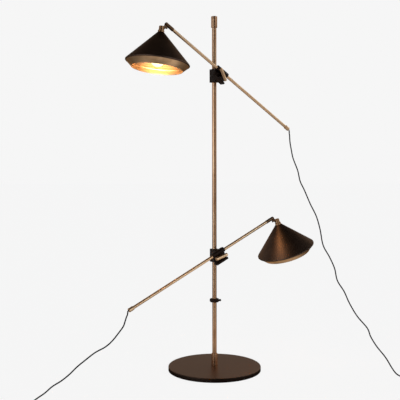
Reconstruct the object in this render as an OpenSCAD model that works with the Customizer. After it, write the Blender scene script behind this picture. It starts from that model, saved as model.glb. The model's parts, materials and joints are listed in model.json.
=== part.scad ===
// Pole floor lamp with two sliding, tilting arms and conical shades, in millimetres.
// The origin is the middle of the base's underside, z is up, and the viewer stands at -y.

/* [Base] */
// Outside diameter of the base
base_d = 400; // [320:5:480]
// Height of the base's top face above the floor
base_t = 18; // [15:0.5:26]
// Radius of the base's upper edge
base_edge_r = 3; // [1.5:0.5:5]
// Sheet thickness of the spun cover
cover_wall = 1.6; // [1:0.1:2.4]
// Thickness of the felt ring under the weight
pad_t = 2; // [1:0.25:3]
// Radial width of the felt ring
pad_w = 60; // [20:5:110]
// Diameter of the stud that holds the pole
stud_d = 10; // [8:1:12]

/* [Pole] */
// Height of the whole lamp
lamp_h = 1515; // [1450:1:1700]
// Outside diameter of the pole
pole_d = 19; // [16:0.5:21]
// Wall of the pole tube
pole_wall = 1.5; // [1:0.1:2.5]
// Diameter of the foot sleeve and of the top cap
sleeve_d = 26; // [24:0.5:32]
// Height of the foot sleeve
foot_h = 54; // [40:1:80]
// Height of the top cap
cap_h = 47; // [30:1:60]

/* [Stop collar] */
// Height of the collar's middle above the floor
collar_z = 303; // [290:1:320]
// Outside diameter of the collar
collar_d = 41; // [36:0.5:48]
// Height of the collar
collar_h = 15; // [11:0.5:20]
// Diameter of the thumb screw's head
thumb_d = 9.4; // [7:0.2:11]
// How far the thumb screw's head stands out of the collar
thumb_out = 8; // [5:0.5:12]

/* [Clamps] */
// Height of each pole block
block_h = 56; // [50:1:64]
// Width of each pole block, square round the pole
block_w = 31; // [29:0.5:36]
// Radius of the blocks' upright edges
block_r = 4; // [2:0.5:6]
// Wall of the nylon liner between pole and block
liner_wall = 1.5; // [1:0.1:2]
// From the pole's axis to the pole block's front face
block_front = 27; // [25:0.5:30]
// Thickness of the friction washer between the two blocks
washer_t = 2; // [1:0.25:3]
// Thickness of the arm block's back plate
plate_t = 9; // [7:0.5:12]
// Length of the arm block along the arm
arm_block_l = 62; // [50:1:70]
// Wall of the barrel round the arm
barrel_wall = 4.6; // [3.5:0.1:6]
// Height of the arm's axis above the pivot
arm_rise = 15.25; // [15.25:0.25:18]
// How far the barrel's outside is centred above the arm's axis
barrel_lift = 2; // [2:0.25:3]
// From the pivot down to the arm block's lower edge
jaw_drop = 28; // [25:0.5:34]
// Thickness of the lower jaw
jaw_t = 9; // [6:0.5:11]
// Width of the saw cut that lets the barrel close
cut_w = 2; // [1:0.25:3]
// Diameter of the clamp screw
screw_d = 8; // [6:0.5:9]
// Diameter of the screw's shoulder
shoulder_d = 11; // [10:0.25:12]
// Diameter of the handle bar
bar_d = 14; // [12:0.5:15]
// Length of the handle bar
bar_l = 57; // [48:1:62]

/* [Arms] */
// Outside diameter of the arm tube
arm_d = 12.7; // [12:0.1:14]
// Wall of the arm tube
arm_wall = 1.2; // [0.8:0.1:1.8]
// Length from the fork's tip to the rear end
arm_l = 785; // [740:1:840]
// Diameter of the fork
fork_d = 15; // [14.5:0.25:18]
// Length of the fork
fork_l = 42; // [38:1:50]
// Depth of the fork's slot
slot_l = 21; // [18:0.5:23]
// From the fork's tip back to the pivot pin
pin_back = 7; // [6:0.5:9]
// Diameter of the pivot pin
pin_d = 4; // [3:0.25:5]
// Diameter of the rear ferrule
ferrule_d = 17; // [15.5:0.25:20]
// Length of the rear ferrule
ferrule_l = 24; // [20:1:32]
// Width of the groove ring in front of the ferrule
groove_w = 3; // [2:0.5:5]

/* [Heads] */
// Thickness of the tongue between fork and cup
tongue_t = 5; // [4:0.25:6]
// Radius of the tongue's eye
eye_r = 5.5; // [4.5:0.25:7]
// From the pivot pin out to the shade's axis
head_out = 23; // [22:0.5:30]
// From the pivot pin down to the top of the cup
cup_drop = 12; // [10:0.5:16]
// Height of the cup
cup_h = 24.75; // [22:0.25:34]
// Diameter of the cup's upper part
cup_d = 20; // [18:0.5:23]
// Diameter of the cup's foot flange
flange_d = 26; // [24:0.5:30]
// Height of the foot flange
flange_h = 8; // [5:0.5:10]
// Height of the cone from its top to the rim
cone_h = 122.5; // [105:0.5:140]
// Diameter of the rim
rim_d = 258; // [220:0.5:290]
// Sheet thickness of the shade and its lip
shade_t = 1.2; // [0.8:0.1:2]
// Radius of the rolled rim
rim_r = 4; // [3:0.25:6]
// Height of the inward lip below the rim
lip_h = 25; // [20:0.5:36]
// Diameter of the light opening
mouth_d = 205; // [170:1:230]
// Diameter of the lampholder
holder_d = 38; // [34:0.5:42]
// Length of the lampholder
holder_l = 46; // [40:1:56]
// Diameter of the bulb
bulb_d = 60; // [45:1:66]
// How far the bulb stands out of the lampholder
bulb_l = 78; // [70:1:84]

/* [Pose in the photograph] */
// Height of the upper pivot above the floor
upper_z = 1264.5; // [1200:0.5:1280]
// Turn of the upper arm about the pole
upper_turn = 37.2; // [0:0.1:60]
// Rise of the upper arm towards its head
upper_rise = 30.7; // [10:0.1:45]
// From the upper clamp to the fork's tip
upper_reach = 333.5; // [280:0.5:400]
// Outward tilt of the upper shade
upper_tilt = 8; // [0:0.5:20]
// Direction of the upper handle bar, above the horizontal
upper_bar = -62; // [-90:1:90]
// Height of the lower pivot above the floor
lower_z = 498; // [480:0.5:560]
// Turn of the lower arm about the pole
lower_turn = 30.4; // [0:0.1:60]
// Rise of the lower arm towards its head
lower_rise = 25.9; // [10:0.1:40]
// From the lower clamp to the fork's tip
lower_reach = 319.5; // [280:0.5:400]
// Outward tilt of the lower shade
lower_tilt = 20; // [0:0.5:30]
// Direction of the lower handle bar, above the horizontal
lower_bar = 18; // [-90:1:90]

/* [Cords] */
// Diameter of each cord
cord_d = 5.5; // [5:0.1:6]
// Whole turns in the upper cord's coil, before the part turn to its plug
upper_turns = 4; // [3:1:6]
// Whole turns in the lower cord's coil, before the part turn to its plug
lower_turns = 7; // [4:1:8]
// Smallest bend radius in the upper coil
upper_coil_r = 24; // [22:0.5:30]
// Smallest bend radius in the lower coil
lower_coil_r = 22; // [22:0.5:30]
// Width of each plug
plug_w = 26; // [24:0.5:30]
// Length of each plug's body
plug_l = 36; // [30:1:44]
// Length of the plug's blades
blade_l = 17; // [15:0.5:18]

/* [Hidden] */
$fn = 96;

// Finishes
BRONZE = "#4a3a33";
BLACK = "#1f1a18";
BRASS = "#a9825a";
DARK_BRASS = "#6b4b30";
STEEL = "#8c8c8c";
NYLON = "#2b2b2b";
FELT = "#3a3a3a";
PORCELAIN = "#e8e4da";
GLASS = "#fff1d0";
FLEX = "#231c1a";

// Clearances
fit = 0.05;        // running fit, on the radius
seat = 0.02;       // pieces that are pressed or screwed together, on the radius
play = 0.3;        // faces that pass each other
cut = 1;           // how far a cutting tool reaches past a face

pole_r = pole_d / 2;
arm_r = arm_d / 2;
cord_r = cord_d / 2;

// ---------------------------------------------------------------- small shapes

// A ring about z from z0 up to z1.
module ring(r_out, r_in, z0, z1) {
  difference() {
    translate([0, 0, z0]) cylinder(r = r_out, h = z1 - z0);
    translate([0, 0, z0 - cut]) cylinder(r = r_in, h = z1 - z0 + 2 * cut);
  }
}

// A rod along x from x0 to x1.
module rod_x(r, x0, x1) {
  translate([x0, 0, 0]) rotate([0, 90, 0]) cylinder(r = r, h = x1 - x0);
}

// A rod along -y, away from the pole, from distance n0 to n1.
module rod_n(r, n0, n1) {
  translate([0, -n0, 0]) rotate([90, 0, 0]) cylinder(r = r, h = n1 - n0);
}

// A rectangle from (x0, y0) to (x1, y1) with its corners cut off at c.
function cut_box(x0, y0, x1, y1, c) = [
  [x0 + c, y0], [x1 - c, y0], [x1, y0 + c], [x1, y1 - c],
  [x1 - c, y1], [x0 + c, y1], [x0, y1 - c], [x0, y0 + c]
];

// A rectangle from (x0, y0) to (x1, y1) with rounded corners.
module round_box(x0, y0, x1, y1, r) {
  translate([x0 + r, y0]) square([x1 - x0 - 2 * r, y1 - y0]);
  translate([x0, y0 + r]) square([x1 - x0, y1 - y0 - 2 * r]);
  for (x = [x0 + r, x1 - r], y = [y0 + r, y1 - r]) translate([x, y]) circle(r = r, $fn = 48);
}

// Points of an arc about (cx, cy).
function arc(cx, cy, r, a0, a1, n = 8) =
  [for (i = [0:n]) let (a = a0 + (a1 - a0) * i / n) [cx + r * cos(a), cy + r * sin(a)]];

// ------------------------------------------------------------------------ base

weight_r = base_d / 2 - cover_wall - play;
weight_edge = base_edge_r;
cover_gap = 0.8;                      // the cover's edge stays off the floor
recess_r = stud_d * 1.7;
recess_top = base_t - cover_wall - stud_d / 2;
washer_h = 1.5;
nut_h = stud_d / 2;
insert_l = 30;                        // how far the stud reaches up into the pole

module base_cover() {
  r = base_d / 2;
  color(BRONZE) rotate_extrude($fn = 180) difference() {
    union() {
      translate([0, cover_gap]) square([r, base_t - base_edge_r - cover_gap]);
      translate([0, base_t - base_edge_r - cut]) square([r - base_edge_r, base_edge_r + cut]);
      translate([r - base_edge_r, base_t - base_edge_r]) circle(r = base_edge_r, $fn = 48);
    }
    polygon(concat(
      [[0, -cut], [r - cover_wall, -cut], [r - cover_wall, base_t - cover_wall - weight_edge]],
      [[r - cover_wall - weight_edge, base_t - cover_wall], [0, base_t - cover_wall]]));
    translate([0, -cut]) square([stud_d / 2 + fit, base_t + 2 * cut]);
  }
}

module base_weight() {
  top = base_t - cover_wall;
  color(STEEL) rotate_extrude($fn = 180) polygon([
    [recess_r, pad_t], [weight_r, pad_t], [weight_r, top - weight_edge - play],
    [weight_r - weight_edge - play, top], [stud_d / 2 + fit, top],
    [stud_d / 2 + fit, recess_top], [recess_r, recess_top]
  ]);
}

module base_pad() {
  color(FELT) ring(weight_r - 8, weight_r - 8 - pad_w, 0, pad_t);
}

module base_stud() {
  color(STEEL) {
    translate([0, 0, recess_top - washer_h - nut_h - 1])
      cylinder(d = stud_d, h = base_t - recess_top + washer_h + nut_h + 1.5);
    translate([0, 0, base_t]) cylinder(r = pole_r - pole_wall - seat, h = insert_l);
  }
}

module base_washer() {
  color(STEEL) ring(stud_d * 1.2, stud_d / 2 + fit, recess_top - washer_h, recess_top);
}

module base_nut() {
  top = recess_top - washer_h;
  color(STEEL) difference() {
    translate([0, 0, top - nut_h]) cylinder(d = stud_d * 1.85, h = nut_h, $fn = 6);
    translate([0, 0, top - nut_h - cut]) cylinder(r = stud_d / 2 + seat, h = nut_h + 2 * cut);
  }
}

// ------------------------------------------------------------------------ pole

cap_crown = 5;                        // solid metal over the pole's end
edge_r = 2;                           // rounding of the turned sleeves

// A turned sleeve with one rounded edge at z1, bored to radius r_in up to height z_in.
module sleeve(r_out, r_in, z0, z1, z_in) {
  rotate_extrude() difference() {
    union() {
      translate([0, z0]) square([r_out, z1 - z0 - edge_r]);
      translate([0, z0]) square([r_out - edge_r, z1 - z0]);
      translate([r_out - edge_r, z1 - edge_r]) circle(r = edge_r, $fn = 32);
    }
    translate([0, z0 - cut]) square([r_in, z_in - z0 + cut]);
  }
}

module foot_sleeve() {
  color(BRASS) sleeve(sleeve_d / 2, pole_r + seat, base_t, base_t + foot_h, base_t + foot_h + cut);
}

module pole() {
  color(BRASS) ring(pole_r, pole_r - pole_wall, base_t, lamp_h - cap_crown);
}

module pole_cap() {
  color(BRASS) sleeve(sleeve_d / 2, pole_r + seat, lamp_h - cap_h, lamp_h, lamp_h - cap_crown);
}

// ----------------------------------------------------------------- stop collar

thumb_screw_r = 2.5;
collar_edge = 3;

module stop_collar() {
  color(BLACK) translate([0, 0, collar_z]) difference() {
    rotate_extrude() translate([pole_r + fit, -collar_h / 2])
      difference() {
        square([collar_d / 2 - pole_r - fit, collar_h]);
        for (y = [0, collar_h])
          translate([collar_d / 2 - pole_r - fit, y]) circle(r = collar_edge, $fn = 4);
      }
    rod_x(thumb_screw_r + fit, 0, collar_d);
  }
}

module stop_screw() {
  head = collar_d / 2 + 0.3;
  color(BLACK) translate([0, 0, collar_z]) {
    rod_x(thumb_screw_r, pole_r + play, head + cut);
    rod_x(thumb_d / 2, head, head + thumb_out - 1.5);
    rod_x(thumb_d / 2 - 1, head, head + thumb_out);
  }
}

// ---------------------------------------------------------------------- clamps
// A clamp's frame: the pivot is the origin, x runs along the arm's plane to the right,
// and -y points away from the pole towards the viewer.

barrel_r = arm_r + barrel_wall;
barrel_z = arm_rise + barrel_lift;    // height of the barrel's outside over the pivot
liner_r = pole_r + fit + liner_wall;
flange_t = 1.5;                       // the liner's flange, sunk in the block's underside
flange_out = 2;
plate_back = block_front + washer_t;  // back face of the arm block's plate
plate_face = plate_back + plate_t;
arm_out = plate_back + barrel_r + 1.5;  // from the pole's axis to the arm's axis
jaw_out = arm_out + barrel_r - 1;     // front of the lower jaw
bar_out = arm_out + barrel_r + 0.5 + bar_d / 2;
edge_cut = 2;                         // chamfer on the blocks

module liner() {
  color(NYLON) rotate_extrude() difference() {
    union() {
      translate([0, -block_h / 2]) square([liner_r, block_h]);
      translate([0, -block_h / 2]) square([liner_r + flange_out, flange_t]);
    }
    translate([0, -block_h]) square([pole_r + fit, 2 * block_h]);
  }
}

module pole_block() {
  w = block_w / 2;
  h = block_h / 2;
  color(BLACK) difference() {
    intersection() {
      linear_extrude(block_h, center = true) round_box(-w, -block_front, w, w, block_r);
      rotate([90, 0, 0]) linear_extrude(4 * block_front, center = true)
        polygon(cut_box(-w, -h, w, h, edge_cut));
      rotate([90, 0, 90]) linear_extrude(2 * block_w, center = true)
        polygon(cut_box(-block_front, -h, w, h, edge_cut));
    }
    translate([0, 0, -block_h]) cylinder(r = liner_r + fit, h = 2 * block_h);
    translate([0, 0, -h - cut]) cylinder(r = liner_r + flange_out + fit, h = flange_t + fit + cut);
    rod_n(screw_d / 2 + fit, pole_r, block_front + cut);
  }
}

module friction_washer() {
  color(DARK_BRASS) difference() {
    rod_n(block_w / 2 - 1, block_front, plate_back - fit);
    rod_n(screw_d / 2 + 2 * fit, block_front - cut, plate_back + cut);
  }
}

// The arm block's section: x is the distance from the pole's axis, y the height over the pivot.
module arm_block_section() {
  difference() {
    union() {
      translate([arm_out, barrel_z]) circle(r = barrel_r);
      translate([plate_back, arm_rise])
        square([arm_out - plate_back, barrel_lift + barrel_r - edge_cut]);
      round_box(plate_back, -jaw_drop, plate_face, arm_rise + edge_cut, edge_cut);
      round_box(plate_back, -jaw_drop, jaw_out, -jaw_drop + jaw_t, edge_cut);
      translate([plate_face, -jaw_drop + jaw_t]) square(3);
    }
    translate([plate_face + 3, -jaw_drop + jaw_t + 3]) circle(r = 3, $fn = 32);
    translate([arm_out, arm_rise]) circle(r = arm_r + fit);
    translate([arm_out - cut_w / 2, arm_rise - barrel_r - cut]) square([cut_w, barrel_r]);
  }
}

module arm_block() {
  l = arm_block_l / 2;
  top = barrel_z + barrel_r;
  color(BLACK) difference() {
    intersection() {
      rotate([0, 0, -90]) rotate([90, 0, 0])
        linear_extrude(arm_block_l, center = true) arm_block_section();
      rotate([90, 0, 0]) linear_extrude(4 * bar_out, center = true)
        polygon(cut_box(-l, -jaw_drop, l, top + edge_cut, edge_cut));
    }
    rod_n(screw_d / 2 + 2 * fit, plate_back - cut, plate_face + cut);
  }
}

module clamp_screw() {
  color(DARK_BRASS) {
    rod_n(screw_d / 2, liner_r + play, plate_face + cut);
    rod_n(shoulder_d / 2, plate_face + fit, bar_out - bar_d / 2 + 2);
  }
}

module handle_bar(angle) {
  color(BRASS) difference() {
    translate([0, -bar_out, 0]) rotate([0, -angle, 0]) {
      rod_x(bar_d / 2, -bar_l / 2 + 1, bar_l / 2 - 1);
      rod_x(bar_d / 2 - 1, -bar_l / 2, bar_l / 2);
    }
    rod_n(shoulder_d / 2 + seat, bar_out - bar_d, bar_out - bar_d / 2 + 2 + seat);
  }
}

// ------------------------------------------------------------------------ arms
// An arm's frame: x runs along the tube towards the head, and the origin is on the tube's
// axis over the pivot. reach is where the fork's tip is.

fork_socket = fork_l - slot_l - 4;    // how deep the tube sits in the fork
ferrule_socket = ferrule_l / 2;       // how deep the tube sits in the ferrule
gland_r = 4.5;
gland_out = 1.5;
gland_l = 20;
groove_d = arm_d + 1.4;

module arm_tube(reach) {
  rear = reach - arm_l;
  color(BRASS) difference() {
    rod_x(arm_r, rear + ferrule_l - ferrule_socket, reach - fork_l + fork_socket);
    rod_x(arm_r - arm_wall, rear, reach);
  }
}

module ferrule(reach) {
  rear = reach - arm_l;
  front = rear + ferrule_l;
  color(BRASS) difference() {
    union() {
      rod_x(ferrule_d / 2, rear + 1, front - groove_w);
      rod_x(ferrule_d / 2 - 1, rear, front - groove_w);
      rod_x(groove_d / 2, rear + 2, front);
    }
    rod_x(arm_r + seat, front - ferrule_socket, front + cut);
    rod_x(gland_r + seat, rear - cut, front);
  }
}

// The soft bush that the cord leaves through, tapered where it stands out.
module gland(reach) {
  rear = reach - arm_l;
  color(FLEX) translate([rear, 0, 0]) rotate([0, 90, 0]) rotate_extrude() polygon([
    [0, -gland_out], [cord_r + 0.5, -gland_out], [gland_r, 0], [gland_r, ferrule_socket - 1],
    [cord_r + 0.5, gland_l - gland_out], [0, gland_l - gland_out]
  ]);
}

module fork(reach) {
  pin = reach - pin_back;
  color(DARK_BRASS) difference() {
    union() {
      rod_x(fork_d / 2, reach - fork_l + 1, reach - 1);
      rod_x(fork_d / 2 - 1, reach - fork_l, reach);
    }
    rod_x(arm_r + seat, reach - fork_l - cut, reach - fork_l + fork_socket);
    rod_x(arm_r - arm_wall, reach - fork_l, reach);
    translate([reach - slot_l, -tongue_t / 2 - 0.1, -fork_d])
      cube([slot_l + cut, tongue_t + 0.2, 2 * fork_d]);
    translate([pin, fork_d, 0]) rotate([90, 0, 0]) cylinder(d = pin_d + 2 * fit, h = 2 * fork_d);
  }
}

module pivot_pin(reach) {
  color(DARK_BRASS) translate([reach - pin_back, fork_d / 2 - 0.6, 0])
    rotate([90, 0, 0]) cylinder(d = pin_d, h = fork_d - 1.2);
}

// ----------------------------------------------------------------------- heads
// A head's frame: the pivot pin is the origin, x points outwards and z up along the
// shade's axis, which stands at x = head_out.

cup_top = -cup_drop;
cup_foot = cup_top - cup_h;
cone_top_r = flange_d / 2 + 0.5;
rim_z = cup_foot - cone_h;
rim_radius = rim_d / 2;
stem_r = 5;                           // the lampholder's threaded stem
stem_up = 8;                          // how far the stem reaches up into the cup
holder_drop = 14;                     // from the cone's top to the lampholder's shoulder
lip_r = rim_radius - rim_r;           // where the lip meets the rim
cone_a = atan2(cone_h - rim_r, rim_radius - cone_top_r - 1.2);  // slope of the cone

bulb_neck = 13;
bulb_in = 16;                         // how deep the bulb sits in the lampholder
bulb_skin = 1.2;

module head_axis() {
  translate([head_out, 0, 0]) rotate_extrude($fn = 120) children();
}

// The tongue's outline: the eye, a straight upper edge and a concave lower edge.
module tongue() {
  side = head_out - cup_d / 2;        // where the cup's wall stands
  foot = cup_foot + flange_h + 0.5;
  hollow = side - 1.5;                // radius of the concave edge
  color(BRASS) difference() {
    rotate([90, 0, 0]) linear_extrude(tongue_t, center = true) polygon(concat(
      arc(0, 0, eye_r, 40, 240, 16),
      arc(0, foot, hollow, 110, 20, 8),
      [[side, foot], [side + 3, foot], [side + 3, cup_top - 1]]));
    rotate([90, 0, 0]) cylinder(d = pin_d + 2 * fit, h = 4 * tongue_t, center = true);
    translate([head_out, 0, cup_foot]) cylinder(r = cup_d / 2 + seat, h = cup_h + cut);
  }
}

module cup() {
  r = cup_d / 2;
  f = flange_d / 2;
  color(BRASS) head_axis() difference() {
    polygon(concat(
      [[0, cup_foot], [f, cup_foot], [f, cup_foot + flange_h - 1.5]],
      arc(f - 1.5, cup_foot + flange_h - 1.5, 1.5, 0, 90, 4),
      [[r, cup_foot + flange_h], [r, cup_top - 1.5]],
      arc(r - 1.5, cup_top - 1.5, 1.5, 0, 90, 4),
      [[0, cup_top]]));
    translate([0, cup_foot - cut]) square([stem_r + seat, stem_up + cut]);
  }
}

// The cone, rolled inwards at the rim by a half round of radius rim_r.
module shade() {
  t = shade_t;
  a = 90 - cone_a;
  cx = rim_radius - rim_r;
  cz = rim_z;
  color(BLACK) head_axis() polygon(concat(
    [[stem_r + fit, cup_foot], [cone_top_r, cup_foot]],
    arc(cx, cz, rim_r, 90 - cone_a, -70, 10),
    arc(cx, cz, rim_r - t, -70, 90 - cone_a, 10),
    [[cone_top_r - t * 1.2, cup_foot - t], [stem_r + fit, cup_foot - t]]));
}

// The lip hangs by its flange in the rolled rim, tapers inwards and ends in a small bead.
lip_bead = 1.5;
module lip() {
  m = mouth_d / 2;
  half = shade_t / 2;
  hook = lip_r + rim_r - shade_t - play;
  wall = lip_r + half;
  edge = rim_z - rim_r * sin(70);
  foot = rim_z - lip_h;
  color(BRASS) head_axis() polygon(concat(
    [[wall - 1.5 * shade_t, rim_z + half], [hook, rim_z + half], [hook, rim_z - half]],
    [[wall, rim_z - 2 * half], [wall, edge], [m + lip_bead, foot + lip_bead]],
    arc(m + lip_bead / 2, foot + lip_bead / 2, lip_bead / 2, 30, -180, 6),
    [[m, foot + 2 * lip_bead], [wall - 1.5 * shade_t, edge]]));
}

module lampholder() {
  top = cup_foot - holder_drop;
  r = holder_d / 2;
  bore = bulb_neck + play;
  color(PORCELAIN) head_axis() polygon([
    [0, cup_foot + stem_up - 0.5], [stem_r, cup_foot + stem_up - 0.5], [stem_r, top],
    [r - 7, top], [r, top - 9], [r, top - holder_l], [bore, top - holder_l],
    [bore, top - holder_l + bulb_in + 2], [0, top - holder_l + bulb_in + 2]
  ]);
}

// Half the outline of the bulb, k inside its skin, from its neck down to its end.
function bulb_outline(k) = let (r = bulb_d / 2 - k) concat(
  [[bulb_neck - k, bulb_in], [bulb_neck - k, 2]],
  [[bulb_neck + 3 - k, -12], [r - 6, -28]],
  arc(0, -bulb_l + bulb_d / 2, r, 18, -90, 12));

module bulb() {
  mouth = cup_foot - holder_drop - holder_l;
  inner = bulb_outline(bulb_skin);
  color(GLASS) head_axis() translate([0, mouth]) polygon(concat(
    bulb_outline(0), [for (i = [len(inner) - 1:-1:0]) inner[i]]));
}

// ----------------------------------------------------- where each assembly goes

module at_clamp(z, turn) { translate([0, 0, z]) rotate([0, 0, turn]) children(); }

// side is 1 where the head is on the right and -1 where it is on the left.
module at_arm_block(z, turn, rise, side) {
  at_clamp(z, turn) rotate([0, -side * rise, 0]) children();
}

module at_arm(z, turn, rise, side) {
  at_arm_block(z, turn, rise, side) translate([0, -arm_out, arm_rise])
    rotate([0, 0, side > 0 ? 0 : 180]) children();
}

module at_head(z, turn, rise, side, reach, tilt) {
  at_arm(z, turn, rise, side) translate([reach - pin_back, 0, 0]) rotate([0, rise - tilt, 0]) children();
}

module upper_clamp() { at_clamp(upper_z, upper_turn) children(); }
module upper_arm() { at_arm(upper_z, upper_turn, upper_rise, -1) children(); }
module upper_head() { at_head(upper_z, upper_turn, upper_rise, -1, upper_reach, upper_tilt) children(); }
module lower_clamp() { at_clamp(lower_z, lower_turn) children(); }
module lower_arm() { at_arm(lower_z, lower_turn, lower_rise, 1) children(); }
module lower_head() { at_head(lower_z, lower_turn, lower_rise, 1, lower_reach, lower_tilt) children(); }

// ----------------------------------------------------------------------- cords

// A point of an arm's frame in the lamp's frame, x along the tube.
function on_arm(x, z, turn, rise, side) =
  let (u = side * x, w = arm_rise,
       s = u * cos(side * rise) - w * sin(side * rise),
       h = u * sin(side * rise) + w * cos(side * rise))
  [s * cos(turn) + arm_out * sin(turn), s * sin(turn) - arm_out * cos(turn), z + h];

upper_exit = on_arm(upper_reach - arm_l - gland_out, upper_z, upper_turn, upper_rise, -1);
lower_exit = on_arm(lower_reach - arm_l - gland_out, lower_z, lower_turn, lower_rise, 1);

// Routes from the gland down to the coil, chosen by hand. The last two lie on the floor.
UPPER_ROUTE = concat([upper_exit], [
  [344.4, 209.4, 1042.7], [345.4, 210.1, 1037.7], [345.8, 210.6, 1028.2], [347.5, 212, 1017.1],
  [349, 209, 989], [355, 203, 951], [362, 197, 915], [381, 181, 860], [391, 172, 812],
  [409, 159, 771], [433, 141, 710], [457, 122, 657], [472, 108, 599], [484, 97, 530],
  [510, 81, 479], [530, 65, 430], [540, 53, 379], [567, 36, 333], [587, 18, 285], [616, -5, 233],
  [654, -31, 187], [666, -44, 153], [688, -61, 115], [720, -84, 74], [742, -103, 35],
  [757, -115, 14], [772, -128, 6], [788, -142, cord_r]
]);
LOWER_ROUTE = concat([lower_exit], [
  [-348.9, -252.7, 305.9], [-349.5, -253.1, 303.2], [-350.9, -253.5, 293.2], [-354.8, -257, 283.5],
  [-359.6, -261.5, 268], [-366.3, -267, 248.8], [-383, -277, 226], [-408, -289, 196],
  [-434, -301, 175], [-472, -318, 157], [-509, -336, 131], [-538, -350, 109], [-565, -363, 84],
  [-594, -377, 63], [-625, -391, 46], [-651, -404, 25], [-673, -417, 12], [-688, -432, 4],
  [-702, -456, cord_r], [-713, -479, cord_r]
]);

function unit(v) = v / norm(v);
function sum(v, i = 0) = i >= len(v) ? 0 : v[i] + sum(v, i + 1);
function path_length(p) = sum([for (i = [1:len(p) - 1]) norm(p[i] - p[i - 1])]);

// Points on a smooth curve through p, steps to each stretch.
function smooth(p, steps) = concat(
  [for (i = [0:len(p) - 2], k = [0:steps - 1])
    let (t = k / steps,
         a = i > 0 ? p[i - 1] : 2 * p[0] - p[1], b = p[i], c = p[i + 1],
         d = i < len(p) - 2 ? p[i + 2] : 2 * p[i + 1] - p[i])
    0.5 * (2 * b + (c - a) * t + (2 * a - 5 * b + 4 * c - d) * t * t
      + (3 * b - a - 3 * c + d) * t * t * t)],
  [p[len(p) - 1]]);

// A tube of radius r along the points p, with its rings square to ref. The first and
// last rings face along first and last.
module tube(p, r, sides, ref, first, last) {
  n = len(p);
  function along(i) = i == 0 ? first : i == n - 1 ? last : unit(p[i + 1] - p[i - 1]);
  rings = [for (i = [0:n - 1])
    let (t = along(i), u = unit(cross(t, ref)), v = cross(u, t))
    for (k = [0:sides - 1]) let (a = 360 * (k + 0.5) / sides) p[i] + r * (u * cos(a) + v * sin(a))];
  side_faces = [for (i = [0:n - 2], k = [0:sides - 1])
    let (a = i * sides + k, b = i * sides + (k + 1) % sides)
    each [[a, b, b + sides], [a, b + sides, a + sides]]];
  start = [for (k = [1:sides - 2]) [0, k + 1, k]];
  end = [for (k = [1:sides - 2]) (n - 1) * sides * [1, 1, 1] + [0, k, k + 1]];
  polyhedron(points = rings, faces = concat(side_faces, start, end));
}

// A coil of two layers: the line spirals in, climbs a layer and spirals out again.
// Its wind is [angle at its start, angle at its plug, whole turns, smallest radius].
turn_gap = 0.6;
layer_gap = 0.7;
coil_pitch = cord_d + turn_gap;
layer_z = cord_r + cord_d + layer_gap;
loop_rings = 24;
function sweep(wind) = 360 * wind[2] + (wind[1] - wind[0] + 720) % 360;
function coil_radius(a, wind) = wind[3] + coil_pitch * abs(a - sweep(wind) / 2) / 360;
function coil_height(a, wind) =
  let (share = min(1, max(0, (a - sweep(wind) / 2 + 90) / 180))) cord_r + (layer_z - cord_r) * share;
function coil_line(middle, wind) =
  let (n = round(loop_rings * sweep(wind) / 360))
  [for (i = [0:n])
    let (a = sweep(wind) * i / n, r = coil_radius(a, wind))
    [middle.x + r * cos(wind[0] + a), middle.y + r * sin(wind[0] + a), coil_height(a, wind)]];
function heading(a) = [-sin(a), cos(a), 0];

// The coil with a straight end of one diameter at its start and a tail at its plug.
function coil_path(middle, wind) =
  let (line = coil_line(middle, wind), n = len(line) - 1)
  concat([line[0] - cord_d * heading(wind[0])], line, [line[n] + coil_tail * heading(wind[1])]);

// Least distance between two stretches of a coil that lie more than a third of a turn apart.
function least_gap(p) = min([for (i = [0:len(p) - 1])
  min(concat([1000], [for (j = [i + loop_rings / 3:1:len(p) - 1]) norm(p[i] - p[j]) - cord_d]))]);

coil_tail = 2 * cord_d;
UPPER_WIND = [231.7, 0, upper_turns, upper_coil_r];
LOWER_WIND = [150, 270, lower_turns, lower_coil_r];
// Each coil's middle, so that its start meets the end of the route.
function coil_middle(p, wind) =
  let (r = coil_radius(0, wind), s = p + cord_d * heading(wind[0]))
  [s.x - r * cos(wind[0]), s.y - r * sin(wind[0])];
upper_middle = coil_middle(UPPER_ROUTE[len(UPPER_ROUTE) - 1], UPPER_WIND);
lower_middle = coil_middle(LOWER_ROUTE[len(LOWER_ROUTE) - 1], LOWER_WIND);
UPPER_COIL = coil_path(upper_middle, UPPER_WIND);
LOWER_COIL = coil_path(lower_middle, LOWER_WIND);

// Direction of the tube where it leaves the gland.
function arm_end(turn, rise, side) =
  [-side * cos(rise) * cos(turn), -side * cos(rise) * sin(turn), -sin(rise)];

module cord(route, turn, rise, side, wind) {
  p = smooth(route, 2);
  flat = unit([route[12].x - route[4].x, route[12].y - route[4].y, 0]);
  color(FLEX) tube(p, cord_r, 8, cross([0, 0, 1], flat), arm_end(turn, rise, side), heading(wind[0]));
}

module coil(path, wind) {
  color(FLEX) tube(path, cord_r, 6, [0, 0, 1], heading(wind[0]), heading(wind[1]));
}

echo(upper_cord_mm = path_length(smooth(UPPER_ROUTE, 4)) + path_length(UPPER_COIL));
echo(lower_cord_mm = path_length(smooth(LOWER_ROUTE, 4)) + path_length(LOWER_COIL));
echo(upper_coil_least_gap = least_gap(UPPER_COIL), lower_coil_least_gap = least_gap(LOWER_COIL));
echo(upper_exit = upper_exit, lower_exit = lower_exit);
echo(upper_middle = upper_middle, lower_middle = lower_middle);

// ----------------------------------------------------------------------- plugs
// A plug's frame: the cord ends at the origin and the plug runs on along x.

plug_t = 2 * layer_z;                 // it lies on the floor with the cord at mid height
blade_w = 6.3;
blade_t = 1.5;
blade_gap = 12.7;
blade_in = 6;
relief_l = 12;                        // the tapered stretch at the cord's end

module at_plug(middle, wind) {
  a = wind[1];
  r = coil_radius(0, wind);
  p = [middle.x + r * cos(a), middle.y + r * sin(a), layer_z] + coil_tail * heading(a);
  translate(p) rotate([0, 0, a + 90]) children();
}

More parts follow.
